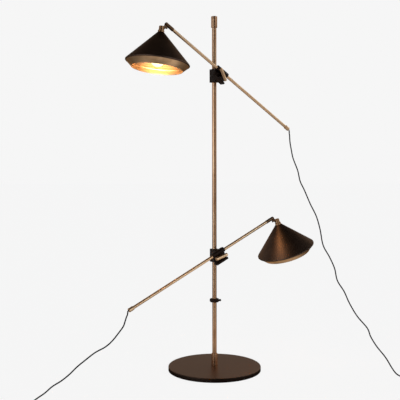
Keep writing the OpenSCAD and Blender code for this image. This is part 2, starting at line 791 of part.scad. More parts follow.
// Half outline of the plug in plan: half width w at its face, rounded at the shoulder.
function plug_outline(w, neck) = [
  [0, -neck], [relief_l, -neck - 1], [relief_l + 6, -w + 3], [relief_l + 10, -w + 1],
  [relief_l + 14, -w], [plug_l, -w], [plug_l, w],
  [relief_l + 14, w], [relief_l + 10, w - 1], [relief_l + 6, w - 3], [relief_l, neck + 1], [0, neck]
];

module blades_shape(grow) {
  for (y = [-blade_gap / 2, blade_gap / 2])
    translate([plug_l - blade_in - grow, y - blade_t / 2 - grow, -blade_w / 2 - grow])
      cube([blade_l + blade_in + 2 * grow, blade_t + 2 * grow, blade_w + 2 * grow]);
}

module plug() {
  color(FLEX) difference() {
    intersection() {
      linear_extrude(2 * plug_t, center = true) polygon(plug_outline(plug_w / 2, cord_r + 0.8));
      rotate([90, 0, 0]) linear_extrude(2 * plug_w, center = true)
        polygon(plug_outline(plug_t / 2, cord_r + 0.8));
    }
    blades_shape(seat);
  }
}

module blades() { color(BRASS) blades_shape(0); }

// ------------------------------------------------------------ the named sub-parts

module upper_liner() { upper_clamp() liner(); }
module upper_pole_block() { upper_clamp() pole_block(); }
module upper_washer() { upper_clamp() friction_washer(); }
module upper_arm_block() { at_arm_block(upper_z, upper_turn, upper_rise, -1) arm_block(); }
module upper_clamp_screw() { upper_clamp() clamp_screw(); }
module upper_handle_bar() { upper_clamp() handle_bar(upper_bar); }
module upper_arm_tube() { upper_arm() arm_tube(upper_reach); }
module upper_ferrule() { upper_arm() ferrule(upper_reach); }
module upper_gland() { upper_arm() gland(upper_reach); }
module upper_fork() { upper_arm() fork(upper_reach); }
module upper_pivot_pin() { upper_arm() pivot_pin(upper_reach); }
module upper_tongue() { upper_head() tongue(); }
module upper_cup() { upper_head() cup(); }
module upper_shade() { upper_head() shade(); }
module upper_lip() { upper_head() lip(); }
module upper_lampholder() { upper_head() lampholder(); }
module upper_bulb() { upper_head() bulb(); }
module upper_cord() { cord(UPPER_ROUTE, upper_turn, upper_rise, -1, UPPER_WIND); }
module upper_coil() { coil(UPPER_COIL, UPPER_WIND); }
module upper_plug() { at_plug(upper_middle, UPPER_WIND) plug(); }
module upper_blades() { at_plug(upper_middle, UPPER_WIND) blades(); }

module lower_liner() { lower_clamp() liner(); }
module lower_pole_block() { lower_clamp() pole_block(); }
module lower_washer() { lower_clamp() friction_washer(); }
module lower_arm_block() { at_arm_block(lower_z, lower_turn, lower_rise, 1) arm_block(); }
module lower_clamp_screw() { lower_clamp() clamp_screw(); }
module lower_handle_bar() { lower_clamp() handle_bar(lower_bar); }
module lower_arm_tube() { lower_arm() arm_tube(lower_reach); }
module lower_ferrule() { lower_arm() ferrule(lower_reach); }
module lower_gland() { lower_arm() gland(lower_reach); }
module lower_fork() { lower_arm() fork(lower_reach); }
module lower_pivot_pin() { lower_arm() pivot_pin(lower_reach); }
module lower_tongue() { lower_head() tongue(); }
module lower_cup() { lower_head() cup(); }
module lower_shade() { lower_head() shade(); }
module lower_lip() { lower_head() lip(); }
module lower_lampholder() { lower_head() lampholder(); }
module lower_bulb() { lower_head() bulb(); }
module lower_cord() { cord(LOWER_ROUTE, lower_turn, lower_rise, 1, LOWER_WIND); }
module lower_coil() { coil(LOWER_COIL, LOWER_WIND); }
module lower_plug() { at_plug(lower_middle, LOWER_WIND) plug(); }
module lower_blades() { at_plug(lower_middle, LOWER_WIND) blades(); }

base_cover();
base_weight();
base_pad();
base_stud();
base_washer();
base_nut();
foot_sleeve();
pole();
pole_cap();
stop_collar();
stop_screw();
upper_liner();
upper_pole_block();
upper_washer();
upper_arm_block();
upper_clamp_screw();
upper_handle_bar();
upper_arm_tube();
upper_ferrule();
upper_gland();
upper_fork();
upper_pivot_pin();
upper_tongue();
upper_cup();
upper_shade();
upper_lip();
upper_lampholder();
upper_bulb();
upper_cord();
upper_coil();
upper_plug();
upper_blades();
lower_liner();
lower_pole_block();
lower_washer();
lower_arm_block();
lower_clamp_screw();
lower_handle_bar();
lower_arm_tube();
lower_ferrule();
lower_gland();
lower_fork();
lower_pivot_pin();
lower_tongue();
lower_cup();
lower_shade();
lower_lip();
lower_lampholder();
lower_bulb();
lower_cord();
lower_coil();
lower_plug();
lower_blades();
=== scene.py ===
"""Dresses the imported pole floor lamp: camera, cords, studio, castings, shades and finishes.

Everything is in metres in the row frame: the origin is the middle of the base's
underside, z is up and the viewer stands at -y.
"""

import json
import math

import bmesh
import bpy
from bpy.props import FloatProperty, FloatVectorProperty, PointerProperty, StringProperty
from mathutils import Matrix, Vector

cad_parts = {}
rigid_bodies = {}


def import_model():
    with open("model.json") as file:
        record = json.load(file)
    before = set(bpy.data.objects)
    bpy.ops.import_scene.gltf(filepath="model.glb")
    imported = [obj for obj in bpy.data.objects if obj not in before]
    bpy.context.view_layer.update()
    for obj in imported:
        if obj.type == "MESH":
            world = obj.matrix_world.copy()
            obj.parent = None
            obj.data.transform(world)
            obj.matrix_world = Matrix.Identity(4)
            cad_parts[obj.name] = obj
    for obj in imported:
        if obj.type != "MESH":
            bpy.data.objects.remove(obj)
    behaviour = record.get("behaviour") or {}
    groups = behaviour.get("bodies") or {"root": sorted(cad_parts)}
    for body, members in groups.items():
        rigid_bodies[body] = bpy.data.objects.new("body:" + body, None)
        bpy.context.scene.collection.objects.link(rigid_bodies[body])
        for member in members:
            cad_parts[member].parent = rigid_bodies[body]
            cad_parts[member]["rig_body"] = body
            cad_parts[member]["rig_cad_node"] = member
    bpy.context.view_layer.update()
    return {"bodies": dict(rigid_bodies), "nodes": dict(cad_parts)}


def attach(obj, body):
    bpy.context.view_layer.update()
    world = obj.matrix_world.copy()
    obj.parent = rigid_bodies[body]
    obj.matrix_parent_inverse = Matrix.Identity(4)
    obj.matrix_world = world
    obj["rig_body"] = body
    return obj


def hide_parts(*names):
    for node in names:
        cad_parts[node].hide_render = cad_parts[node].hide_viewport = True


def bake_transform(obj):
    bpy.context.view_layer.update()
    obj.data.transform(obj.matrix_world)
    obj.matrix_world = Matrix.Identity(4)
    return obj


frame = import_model()

bl_info = {
    "name": "Pole floor lamp",
    "version": (1, 0, 0),
    "blender": (4, 5, 0),
    "location": "View3D > Sidebar > Lamp",
    "description": "Builds the look of a two-arm pole floor lamp round its CAD model",
    "category": "Object",
}

# ---------------------------------------------------------------- sizes from the CAD

MM = 0.001
ARM_OUT = 41.45 * MM  # from the pole's axis to the arm's axis
ARM_RISE = 15.25 * MM  # height of the arm's axis over the pivot
ARM_L = 785 * MM
PIN_BACK = 7 * MM  # from the arm's high end back to the pivot pin
GLAND_OUT = 1.5 * MM  # from the arm's low end out to where the cord starts
HEAD_OUT = 23 * MM  # from the pivot pin to the shade's axis
CUP_FOOT = -36.75 * MM  # top of the cone, from the pin
CONE_H = 122.5 * MM
CONE_TOP_R = 13.5 * MM
RIM_R = 129 * MM
RIM_ROLL = 4 * MM  # radius of the rolled rim
SHEET = 1.2 * MM  # thickness of the shades' sheet
STEM_R = 5 * MM  # stem of the lampholder, which goes through the cone's top
STEM_PLAY = 0.05 * MM
LIP_H = 25 * MM
LIP_PLAY = 0.3 * MM
LIP_BEAD = 1.5 * MM  # thickness of the bead round the light opening
MOUTH_R = 102.5 * MM  # radius of the light opening
ROLL_END = 70  # degrees that the rolled rim turns in under itself
BASE_EDGE_Z = 17.6 * MM  # where the base's flat top meets its rounded edge
CORD_D = 5.5 * MM
COIL_PITCH = 6.1 * MM  # from one turn of a coil to the next
LAYER_Z = 8.95 * MM  # height of a coil's upper layer
PLUG_EDGE = 1.1 * MM  # radius of the plugs' edges

CORD_STEPS = 5  # how finely a cord's line is drawn between two points of its route
CORD_SIDES = 14
COIL_STEPS = 36  # points in one turn of a coil
SPIN_STEPS = 144

# Each arm as photographed: height of its pivot and reach of its high end from there, in
# metres; turn about the pole, rise of the arm and tilt of the shade, in degrees. side is 1
# where the head is on the right and -1 where it is on the left.
LAMPS = {
    "upper": dict(z=1.2645, turn=37.2, rise=30.7, side=-1, reach=0.3335, tilt=8),
    "lower": dict(z=0.498, turn=30.4, rise=25.9, side=1, reach=0.3195, tilt=20),
}

# Routes of the cords from the gland to the coil, in millimetres, as in the part's source.
ROUTES = {
    "upper": [
        (344.4, 209.4, 1042.7), (345.4, 210.1, 1037.7), (345.8, 210.6, 1028.2),
        (347.5, 212, 1017.1), (349, 209, 989), (355, 203, 951), (362, 197, 915), (381, 181, 860),
        (391, 172, 812), (409, 159, 771), (433, 141, 710), (457, 122, 657), (472, 108, 599),
        (484, 97, 530), (510, 81, 479), (530, 65, 430), (540, 53, 379), (567, 36, 333),
        (587, 18, 285), (616, -5, 233), (654, -31, 187), (666, -44, 153), (688, -61, 115),
        (720, -84, 74), (742, -103, 35), (757, -115, 14), (772, -128, 6), (788, -142, 2.75),
    ],
    "lower": [
        (-348.9, -252.7, 305.9), (-349.5, -253.1, 303.2), (-350.9, -253.5, 293.2),
        (-354.8, -257, 283.5), (-359.6, -261.5, 268), (-366.3, -267, 248.8), (-383, -277, 226),
        (-408, -289, 196), (-434, -301, 175), (-472, -318, 157), (-509, -336, 131),
        (-538, -350, 109), (-565, -363, 84), (-594, -377, 63), (-625, -391, 46),
        (-651, -404, 25), (-673, -417, 12), (-688, -432, 4), (-702, -456, 2.75),
        (-713, -479, 2.75),
    ],
}
# A coil's wind: angle at its start, angle at its plug, whole turns, smallest radius.
WINDS = {"upper": (231.7, 0, 4, 24 * MM), "lower": (150, 270, 7, 22 * MM)}
# The route's points at which each joint's share of the cord begins, from the gland down:
# reach, tilt, swivel, height, and then the stretch that lies on the floor.
SHARES = {"upper": (0, 5, 9, 17, 26), "lower": (0, 5, 7, 11, 17)}

# ---------------------------------------------------------------------------- colours

# Brass tones: rubbed, middle and tarnished. The lower arm's tones are painted lighter, as
# painted light from the upper bulb. The small pieces are the washers, clamp screws and pivot
# pins.
ARM_TONES = {
    "upper": ("#f6d0a8", "#eabf94", "#cf9e78"),
    "lower": ("#ffe0b6", "#fbd0a2", "#e8b88c"),
}
SMALL_TONES = ("#7d5b44", "#5e4433", "#3a2920")
JOINT_TONES = ("#8e6c50", "#6a4f3a", "#412f24")
CUP_TONES = ("#c39a74", "#a37c5a", "#7b5a40")
BRASS_SHEEN = "#e9c4a0"

# The flecks in each coat and its sheen at a low angle, and the colour of the painted shade on
# the base's side.
SHADE_FLECK, SHADE_SHEEN = "#655044", "#d2c2b6"
BASE_FLECK, BASE_SHEEN, BASE_SHADED_SIDE = "#7b6457", "#ead6c8", "#3a2c25"
CASTING_FLECK, CASTING_SHEEN = "#2c1f19", "#ffd9c4"

# The bulbs' glass, the colour that it glows in, and how strongly it does.
GLASS, GLASS_GLOW = "#fff3dc", "#ffdca6"
GLASS_STRENGTH = {"upper": 2.4, "lower": 1.2}

# ----------------------------------------------------------------------------- studio

# The suns: direction that each shines from, its strength, its angle and its colour.
SUNS = {
    "Key": ((-0.60, -0.54, 0.59), 0.32, 30, "#fff4e8"),
    "Fill": ((0.72, -0.56, 0.41), 0.20, 40, "#f6f7ff"),
}
# Watts that each bulb gives all round, and in each of its two wide spots.
FILAMENTS = {"upper": (0.5, 4.6), "lower": (0.6, 2.7)}
FILAMENT_DROP = 108 * MM  # from the top of the cone down to the middle of the bulb
FILAMENT_R = 22 * MM  # size of the source, which softens its shadows
FILAMENT_COLOUR = "#ffc98a"
SIDE_SPREAD = 90  # degrees
# The upper bulb's light on the lower shade: watts, spread and height over the lower bulb.
SPILL_POWER, SPILL_SPREAD, SPILL_RISE = 6.0, 34, 60 * MM

FLOOR_SIZE = 60
FLOOR_GREY = 0.80  # of the floor's lit share
FLOOR_SHARE = 0.9  # how much of the floor glows, the rest is lit and keeps the shadow
FLOOR_GLOW = 1.08  # makes the two shares together as bright as the backdrop

# Directions from the lamp to the window on its left, and to the right one's light on the
# floor.
LEFT_WINDOW = (-0.74, -0.67, 0)
RIGHT_FLOOR = (0.81, -0.58, 0)
WINDOW_COLOUR = "#dcefff"

# Soft steps in what the metal mirrors: where each one starts and ends, and its levels there
# if they aren't 0 and 1. The floor's steps paint into the glow that the metal sees a painted
# pool of light round the lamp, a painted shadow at the base and the painted light of a window
# on either side. FAR, POOL and SHADOW_AT_BASE are measured in metres from the pole, the
# LEFT and RIGHT of the floor and LEFT_SIDE in how far a direction points towards the
# window, and all others in one axis of the direction that is looked in.
FLOOR_LEFT = (0.74, 0.95)
FLOOR_FAR = (2.0, 12.0, 0.25, 0.65)
FLOOR_RIGHT = (0.86, 0.98, 0.0, 0.54)
FLOOR_DIM = 0.12  # level of the floor that no window lights
FLOOR_POOL = (1.30, 0.55, 0.0, 0.48)
FLOOR_SHADOW_AT_BASE = (0.21, 0.42, 0.05, 1.0)
ROOM_FRONT = (0.05, 0.15, 0.20, 0.04)
ROOM_BACK = (-0.30, 0.60, 0.0, 0.52)
ROOM_HIGH = (0.10, 0.80, 1.0, 0.14)
LEFT_SILL = (-0.04, 0.01, 0.0, 4.2)
LEFT_TOP = (0.08, 0.14, 1.0, 0.0)
LEFT_SIDE = (0.72, 0.94)
RIGHT_SILL = (0.20, 0.30)
RIGHT_TOP = (0.60, 0.48)
RIGHT_SIDE = (0.42, 0.60, 0.0, 1.3)


def arm_frame(lamp):
    """The arm's frame: x along the tube to the head, origin over the pivot."""
    s = LAMPS[lamp]
    turned = (
        Matrix.Translation((0, 0, s["z"]))
        @ Matrix.Rotation(math.radians(s["turn"]), 4, "Z")
        @ Matrix.Rotation(math.radians(-s["side"] * s["rise"]), 4, "Y")
        @ Matrix.Translation((0, -ARM_OUT, ARM_RISE))
    )
    return turned @ Matrix.Rotation(0 if s["side"] > 0 else math.pi, 4, "Z")


def head_frame(lamp):
    """The shade's frame: z up along its axis, origin level with the pivot pin."""
    s = LAMPS[lamp]
    return (
        arm_frame(lamp)
        @ Matrix.Translation((s["reach"] - PIN_BACK, 0, 0))
        @ Matrix.Rotation(math.radians(s["rise"] - s["tilt"]), 4, "Y")
        @ Matrix.Translation((HEAD_OUT, 0, 0))
    )


# ---------------------------------------------------------------------- node helpers


def linear(code):
    """A linear colour from an sRGB hex code such as #a9825a."""
    parts = [int(code[i : i + 2], 16) / 255 for i in (1, 3, 5)]
    return [c / 12.92 if c <= 0.04045 else ((c + 0.055) / 1.055) ** 2.4 for c in parts] + [1.0]


def add(tree, kind, settings=None, links=None):
    """Adds a node, with its own settings and socket values, and links to its sockets."""
    n = tree.nodes.new(kind)
    for key, value in (settings or {}).items():
        if isinstance(key, str) and hasattr(n, key):
            setattr(n, key, value)
        else:
            n.inputs[key].default_value = value
    for key, socket in (links or {}).items():
        tree.links.new(socket, n.inputs[key])
    return n


def new_material(name):
    """An empty node material and its tree and output."""
    m = bpy.data.materials.new(name)
    m.use_nodes = True
    m.node_tree.nodes.clear()
    return m, m.node_tree, add(m.node_tree, "ShaderNodeOutputMaterial")


def ramp(tree, fac, stops):
    """A colour ramp over fac with stops of (place, hex colour)."""
    n = add(tree, "ShaderNodeValToRGB", links={"Fac": fac})
    e = n.color_ramp.elements
    while len(e) < len(stops):
        e.new(0.5)
    for element, (place, code) in zip(e, stops):
        element.position, element.color = place, linear(code)
    return n.outputs["Color"]


def mapped(tree, scale, turn=(0, 0, 0)):
    """Object coordinates, turned and then scaled, for a pattern with a direction."""
    co = add(tree, "ShaderNodeTexCoord").outputs["Object"]
    turned = add(tree, "ShaderNodeMapping", {"Rotation": turn}, {"Vector": co}).outputs[0]
    return add(tree, "ShaderNodeMapping", {"Scale": scale}, {"Vector": turned}).outputs[0]


def noise(tree, vector, scale, detail=3.0):
    """Cloudy noise, from 0 to 1."""
    return add(
        tree, "ShaderNodeTexNoise", {"Scale": scale, "Detail": detail, "Roughness": 0.55},
        {"Vector": vector},
    ).outputs["Fac"]


def spread(tree, fac, low, high):
    """Maps 0..1 to low..high."""
    return add(
        tree, "ShaderNodeMapRange", {"To Min": low, "To Max": high}, {"Value": fac}
    ).outputs["Result"]


def smooth(tree, value, start, end, low=0.0, high=1.0):
    """A soft step from low to high while value goes from start to end."""
    return add(
        tree, "ShaderNodeMapRange",
        {"From Min": start, "From Max": end, "To Min": low, "To Max": high,
         "interpolation_type": "SMOOTHSTEP"},
        {"Value": value},
    ).outputs["Result"]


def reckon(tree, operation, a, b):
    """A sum, product or other reckoning of two sockets, or of a socket and a number."""
    numbers = {i: v for i, v in enumerate((a, b)) if isinstance(v, float)}
    sockets = {i: v for i, v in enumerate((a, b)) if not isinstance(v, float)}
    return add(tree, "ShaderNodeMath", {"operation": operation, **numbers}, sockets).outputs[0]


def towards(tree, vector, direction):
    """How far a vector points in the given direction, from -1 to 1."""
    unit = add(tree, "ShaderNodeVectorMath", {"operation": "NORMALIZE"}, {0: vector})
    return add(
        tree, "ShaderNodeVectorMath", {"operation": "DOT_PRODUCT", 1: direction},
        {0: unit.outputs["Vector"]},
    ).outputs["Value"]


def bump(tree, height, strength, distance):
    """The surface's normal over a height from 0 to 1 that stands for the given distance."""
    return add(
        tree, "ShaderNodeBump", {"Strength": strength, "Distance": distance},
        {"Height": height},
    ).outputs["Normal"]


def principled(tree, out, settings, links):
    """Adds the shader that every finish here is made with, and links it to the output."""
    shader = add(tree, "ShaderNodeBsdfPrincipled", settings, links)
    tree.links.new(shader.outputs[0], out.inputs["Surface"])
    return shader


# ------------------------------------------------------------------------- materials


def aged_brass(name, turn, tones, rough=0.30, grain=(900, 900, 14)):
    """Brass, brushed and aged: fine streaks along the brushing and soft brown clouds.
    The tones are its rubbed, its middle and its tarnished colour."""
    m, tree, out = new_material(name)
    streaks = noise(tree, mapped(tree, grain, turn), 1.0, 2.0)
    clouds = noise(tree, mapped(tree, (26, 26, 9), turn), 1.0, 4.0)
    both = add(
        tree, "ShaderNodeMix", {"Factor": 0.35}, {"A": clouds, "B": streaks}
    ).outputs["Result"]
    light, mid, dark = tones
    principled(
        tree, out,
        {"Metallic": 1.0, "Specular Tint": linear(BRASS_SHEEN)},
        {
            "Base Color": ramp(tree, both, [(0.28, dark), (0.48, mid), (0.66, light)]),
            "Roughness": spread(tree, both, rough + 0.08, rough - 0.05),
            "Normal": bump(tree, streaks, 0.015, 0.0001),
        },
    )
    return m


def coat(name, base, fleck, rough, grain, metallic, specular, sheen, edge=None):
    """A thin sprayed coat: its tone drifts softly from place to place, and a fine even
    orange peel breaks its sheen up. The sheen is the colour that it has at a low angle.
    Where edge gives a height and a colour, the coat is darker below that height: painted shade."""
    m, tree, out = new_material(name)
    at = mapped(tree, (1, 1, 1))
    peel = noise(tree, at, grain, 2.0)
    mottle = noise(tree, at, 30.0)
    colour = ramp(tree, mottle, [(0.35, base), (0.70, fleck)])
    if edge:
        # Painted shade: below the height in edge, the colour turns to edge's dark colour.
        height = add(tree, "ShaderNodeSeparateXYZ", {}, {0: at}).outputs["Z"]
        above_painted_shade = smooth(tree, height, edge[0] - 1.5 * MM, edge[0])
        # Of a colour mix, socket 6 is A, socket 7 is B and output 2 is the result.
        colour = add(
            tree, "ShaderNodeMix", {"data_type": "RGBA", 6: linear(edge[1])},
            {0: above_painted_shade, 7: colour},
        ).outputs[2]
    principled(
        tree, out,
        {"Metallic": metallic, "Specular IOR Level": specular, "Specular Tint": linear(sheen)},
        {
            "Base Color": colour,
            "Roughness": spread(tree, mottle, rough - 0.04, rough + 0.05),
            "Normal": bump(tree, peel, 0.10, 0.0003),
        },
    )
    return m


def bronze_coat(name, base, fleck, sheen, edge=None):
    """Bronze powder coat: metal flakes in a dark binder tint its sheen brown."""
    return coat(name, base, fleck, 0.42, 1300.0, 1.0, 0.5, sheen, edge)


def satin_paint(name, base):
    """Semi-matt paint over cast metal: a low warm sheen over near black."""
    return coat(name, base, CASTING_FLECK, 0.45, 900.0, 0.0, 0.22, CASTING_SHEEN)


def reflector(name, base):
    """Satin anodised aluminium: it gathers the bulb's light in its middle and lets it fade
    to the sides."""
    m, tree, out = new_material(name)
    fine = noise(tree, mapped(tree, (1, 1, 1)), 700.0, 2.0)
    principled(
        tree, out,
        {"Metallic": 0.75, "Base Color": linear(base)},
        {"Roughness": spread(tree, fine, 0.46, 0.52)},
    )
    return m


def plain(name, base, rough, metallic=0.0, grain=600.0, depth=0.0002):
    """A material of one colour with a fine grain in its bump and roughness."""
    m, tree, out = new_material(name)
    fine = noise(tree, mapped(tree, (1, 1, 1)), grain)
    principled(
        tree, out,
        {"Metallic": metallic, "Base Color": linear(base)},
        {
            "Roughness": spread(tree, fine, rough - 0.05, rough + 0.05),
            "Normal": bump(tree, fine, 0.15, depth),
        },
    )
    return m


def glowing(name, base, glow, strength):
    """Frosted bulb glass, lit from inside, which lets the light in it out."""
    m, tree, out = new_material(name)
    fine = noise(tree, mapped(tree, (1, 1, 1)), 900.0, 2.0)
    shader = principled(
        tree, out,
        {
            "Base Color": linear(base),
            "Emission Color": linear(glow),
            "Emission Strength": strength,
        },
        {"Roughness": spread(tree, fine, 0.28, 0.38), "Normal": bump(tree, fine, 0.1, 0.0001)},
    )
    clear = add(tree, "ShaderNodeBsdfTransparent")
    ray = add(tree, "ShaderNodeLightPath").outputs["Is Shadow Ray"]
    mix = add(
        tree, "ShaderNodeMixShader", {}, {0: ray, 1: shader.outputs[0], 2: clear.outputs[0]})
    tree.links.new(mix.outputs[0], out.inputs["Surface"])
    return m


def cord_flex():
    """Extruded PVC: matt black-brown with a fine grain and a soft sheen along its top."""
    return plain("Extruded PVC flex", "#080606", 0.70, 0.0, 1500.0, 0.0001)


# ----------------------------------------------------------------------- mesh helpers


def deselect():
    """Leaves edit mode and selects nothing."""
    if bpy.context.mode != "OBJECT":
        bpy.ops.object.mode_set(mode="OBJECT")
    bpy.ops.object.select_all(action="DESELECT")


def activate(obj):
    """Selects one object alone and makes it the active one."""
    deselect()
    obj.select_set(True)
    bpy.context.view_layer.objects.active = obj


def dress_whole(obj, material):
    """Gives an object one material and takes its others away."""
    obj.data.materials.clear()
    obj.data.materials.append(material)


def settle(obj, matrix):
    """Moves an object by a matrix, puts that into its mesh and leaves it at the origin."""
    obj.matrix_world = matrix @ obj.matrix_world
    bpy.context.view_layer.update()
    activate(obj)
    bpy.ops.object.transform_apply(location=True, rotation=True, scale=True)


def smooth_by_angle(obj, degrees):
    """Shades an object smooth, but for the edges that turn by more than the angle."""
    activate(obj)
    bpy.ops.object.shade_smooth_by_angle(angle=math.radians(degrees))


def spun(name, profile):
    """A turned piece: one point is extruded along the closed profile (r, z) and the line
    is spun round z."""
    deselect()
    bpy.ops.mesh.primitive_plane_add(size=0.001, location=(0, 0, 0))
    obj = bpy.context.object
    obj.name = obj.data.name = name
    bpy.ops.object.mode_set(mode="EDIT")
    bpy.ops.mesh.select_all(action="SELECT")
    bpy.ops.mesh.merge(type="CENTER")
    bpy.ops.transform.translate(value=(profile[0][0], 0, profile[0][1]))
    for (r0, z0), (r1, z1) in zip(profile, profile[1:] + profile[:1]):
        bpy.ops.mesh.extrude_region_move(
            TRANSFORM_OT_translate={"value": (r1 - r0, 0, z1 - z0)}
        )
    bpy.ops.mesh.select_all(action="SELECT")
    bpy.ops.mesh.remove_doubles(threshold=1e-6)
    bpy.ops.mesh.spin(
        steps=SPIN_STEPS, angle=2 * math.pi, center=(0, 0, 0), axis=(0, 0, 1),
        use_auto_merge=True,
    )
    bpy.ops.mesh.select_all(action="SELECT")
    bpy.ops.mesh.remove_doubles(threshold=2e-6)
    bpy.ops.mesh.dissolve_degenerate(threshold=1e-7)
    bpy.ops.mesh.select_all(action="SELECT")
    bpy.ops.mesh.normals_make_consistent(inside=False)
    bpy.ops.object.mode_set(mode="OBJECT")
    return obj


def copied(obj, name):
    """A copy of an object with its own mesh."""
    twin = obj.copy()
    twin.data = obj.data.copy()
    twin.name = twin.data.name = name
    bpy.context.scene.collection.objects.link(twin)
    return twin


def arc(cr, cz, radius, a0, a1, n):
    """Points (r, z) on an arc, angles in degrees."""
    return [
        (
            cr + radius * math.cos(math.radians(a0 + (a1 - a0) * i / n)),
            cz + radius * math.sin(math.radians(a0 + (a1 - a0) * i / n)),
        )
        for i in range(n + 1)
    ]


def rounded_copy(name, node, width):
    """A merged copy of a CAD node with its edges rounded, which stands for the node."""
    obj = copied(frame["nodes"][node], name)
    obj.parent = None
    obj.matrix_world = Matrix.Identity(4)
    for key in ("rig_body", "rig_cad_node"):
        if key in obj:
            del obj[key]
    activate(obj)
    bpy.ops.object.mode_set(mode="EDIT")
    bpy.ops.mesh.select_all(action="SELECT")
    bpy.ops.mesh.remove_doubles(threshold=1e-6)
    bpy.ops.mesh.customdata_custom_splitnormals_clear()
    bpy.ops.mesh.select_all(action="SELECT")
    bpy.ops.mesh.dissolve_limited(angle_limit=math.radians(1.5))
    bpy.ops.object.mode_set(mode="OBJECT")
    rounding = obj.modifiers.new("Rounded edges", "BEVEL")
    rounding.width = width
    rounding.segments = 3
    rounding.limit_method = "ANGLE"
    rounding.angle_limit = math.radians(40)
    rounding.harden_normals = False
    bpy.ops.object.modifier_apply(modifier=rounding.name)
    smooth_by_angle(obj, 45)
    return obj


# ----------------------------------------------------------------------------- cords


def smooth_line(points, steps):
    """A Catmull-Rom line through the points, as in the part's source."""
    p = [Vector(q) for q in points]
    out = []
    for i in range(len(p) - 1):
        a = p[i - 1] if i else 2 * p[0] - p[1]
        b, c = p[i], p[i + 1]
        d = p[i + 2] if i < len(p) - 2 else 2 * p[i + 1] - p[i]
        for k in range(steps):
            t = k / steps
            slope, bend = (c - a) * t, (2 * a - 5 * b + 4 * c - d) * t * t
            out.append(0.5 * (2 * b + slope + bend + (3 * b - a - 3 * c + d) * t * t * t))
    return out + [p[-1]]


def rings(points):
    """Rings of points on a cord round its line, carried along it without twisting."""
    turns = [2 * math.pi * k / CORD_SIDES for k in range(CORD_SIDES)]
    made, side = [], Vector((0, 0, 1))
    for i, p in enumerate(points):
        along = (points[min(i + 1, len(points) - 1)] - points[max(i - 1, 0)]).normalized()
        side = side - along * side.dot(along)
        if side.length < 1e-4:
            side = along.orthogonal()
        side.normalize()
        up = along.cross(side)
        made.append([p + CORD_D / 2 * (side * math.cos(t) + up * math.sin(t)) for t in turns])
    return made


def tube_mesh(name, loops):
    """A closed tube through rings of points."""
    sides = len(loops[0])
    bm = bmesh.new()
    rows = [[bm.verts.new(v) for v in loop] for loop in loops]
    for a, b in zip(rows, rows[1:]):
        for k in range(sides):
            bm.faces.new((a[k], a[(k + 1) % sides], b[(k + 1) % sides], b[k]))
    bm.faces.new(rows[0][::-1])
    bm.faces.new(rows[-1])
    bmesh.ops.recalc_face_normals(bm, faces=bm.faces)
    data = bpy.data.meshes.new(name)
    bm.to_mesh(data)
    bm.free()
    for face in data.polygons:
        face.use_smooth = len(face.vertices) == 4
    obj = bpy.data.objects.new(name, data)
    bpy.context.scene.collection.objects.link(obj)
    return obj


def coil_line(lamp, end):
    """The coil's line: in on the lower layer and out on the upper one, then to the plug."""
    a0, a1, whole, least = WINDS[lamp]
    sweep = 360 * whole + (a1 - a0 + 720) % 360

    def radius(a):
        return least + COIL_PITCH * abs(a - sweep / 2) / 360

    def height(a):
        share = min(1, max(0, (a - sweep / 2 + 90) / 180))
        return CORD_D / 2 + (LAYER_Z - CORD_D / 2) * share

    def heading(a):
        return Vector((-math.sin(math.radians(a)), math.cos(math.radians(a)), 0))

    def outward(a):
        return Vector((math.cos(math.radians(a)), math.sin(math.radians(a)), 0))

    middle = end + CORD_D * heading(a0) - radius(0) * outward(a0)
    middle.z = 0
    n = round(COIL_STEPS * sweep / 360)
    line = []
    for i in range(n + 1):
        a = sweep * i / n
        line.append(middle + radius(a) * outward(a0 + a) + Vector((0, 0, height(a))))
    return line + [line[-1] + 2 * CORD_D * heading(a1)]


# ---------------------------------------------------------------------- user's values


def tone(name, description, code):
    """A colour that the user can set, as an sRGB hex code."""
    return StringProperty(name=name, description=description, default=code)


class LampCamera(bpy.types.PropertyGroup):
    """Where the photograph was taken from."""

    place: FloatVectorProperty(
        name="Place", description="Camera position", subtype="TRANSLATION", unit="LENGTH",
        size=3, default=(-0.0616, -3.150, 0.8926),
    )
    pitch: FloatProperty(
        name="Pitch", description="How far the camera looks down", subtype="ANGLE",
        default=math.radians(2.842),
    )
    roll: FloatProperty(
        name="Roll", description="Turn of the camera about its view", subtype="ANGLE",
        default=math.radians(-0.111),
    )
    focal: FloatProperty(
        name="Focal length", description="Lens for a 36 mm sensor, in millimetres",
        default=735.1 / 400 * 36,
    )


class LampColours(bpy.types.PropertyGroup):
    """Colours of the finishes, as sRGB hex codes."""

    brass_light: tone("Brass, light", "Rubbed brass", "#dcb48c")
    brass_mid: tone("Brass, middle", "Aged brass", "#c69671")
    brass_dark: tone("Brass, dark", "Tarnished brass", "#a07352")
    shade_paint: tone("Shade", "Paint on the shades", "#5a483e")
    base_paint: tone("Base", "Paint on the base", "#725c50")
    casting_paint: tone("Clamps", "Paint on the clamps", "#1c1310")
    lip_light: tone("Lip, light", "Rubbed brass", "#efc69a")
    lip_mid: tone("Lip, middle", "Spun brass", "#deb287")
    lip_dark: tone("Lip, dark", "Tarnished brass", "#c29870")
    reflector: tone("Reflector", "Inside of the shades", "#b9a48d")
    backdrop: tone("Backdrop", "Floor and background", "#f6f6f6")


class LampSizes(bpy.types.PropertyGroup):
    """Sizes of the details that the CAD model leaves plain."""

    casting_edge: FloatProperty(
        name="Casting edge", description="Radius of the clamps' edges", unit="LENGTH",
        default=0.9 * MM,
    )


# -------------------------------------------------------------------------- operators


